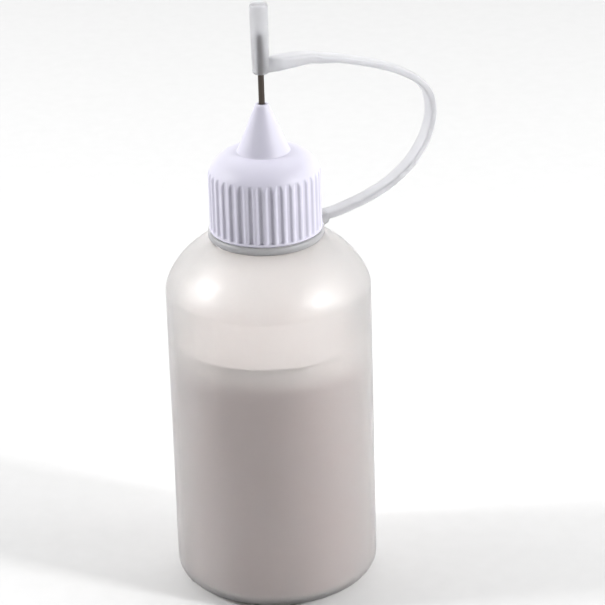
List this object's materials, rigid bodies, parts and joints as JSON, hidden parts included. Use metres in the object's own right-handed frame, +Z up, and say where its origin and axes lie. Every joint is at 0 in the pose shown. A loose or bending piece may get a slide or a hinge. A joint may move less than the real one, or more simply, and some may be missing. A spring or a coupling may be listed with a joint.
{
  "type": "glue applicator bottle",
  "caption": "Translucent squeeze bottle of glue with a ribbed screw-on needle nozzle and a tethered needle cap.",
  "frame": {"origin": "centre of the base, on the surface the bottle stands on", "axes": "+Z up along the bottle's axis, +X towards the side where the strap's loop reaches out, +Y away from the front"},
  "size_m": [0.0417, 0.031, 0.0923],
  "materials": {
    "bottle_plastic": "translucent natural LDPE, satin",
    "glue": "white glue, wet against the wall",
    "cap_plastic": "white moulded PP, soft gloss",
    "needle_steel": "drawn stainless tube",
    "tether_plastic": "translucent natural LDPE"
  },
  "bodies": {
    "bottle": {"bottle": "bottle_plastic", "glue_fill": "glue"},
    "tether": {"tether_ring": "tether_plastic", "tether_strap": "tether_plastic"},
    "nozzle": {"nozzle_cap": "cap_plastic", "needle": "needle_steel"},
    "dust_cap": {"needle_cap": "tether_plastic"}
  },
  "joints": [
    {"name": "tether_lift", "type": "slide", "parent": "bottle", "child": "tether", "axis": [0, 0, 1], "range_m": [0, 0.00476]},
    {"name": "nozzle_turn", "type": "hinge", "parent": "tether", "child": "nozzle", "pos_m": [0, 0, 0.0573], "axis": [0, 0, 1], "range_deg": [0, 810]},
    {"name": "dust_cap_pull", "type": "slide", "parent": "tether", "child": "dust_cap", "axis": [0, 0, 1], "range_m": [0, 0.008], "deforming": ["tether_strap"]}
  ],
  "couplings": [
    {"joint": "nozzle_turn", "follows": "tether_lift", "rad_per_m": 2968}
  ]
}
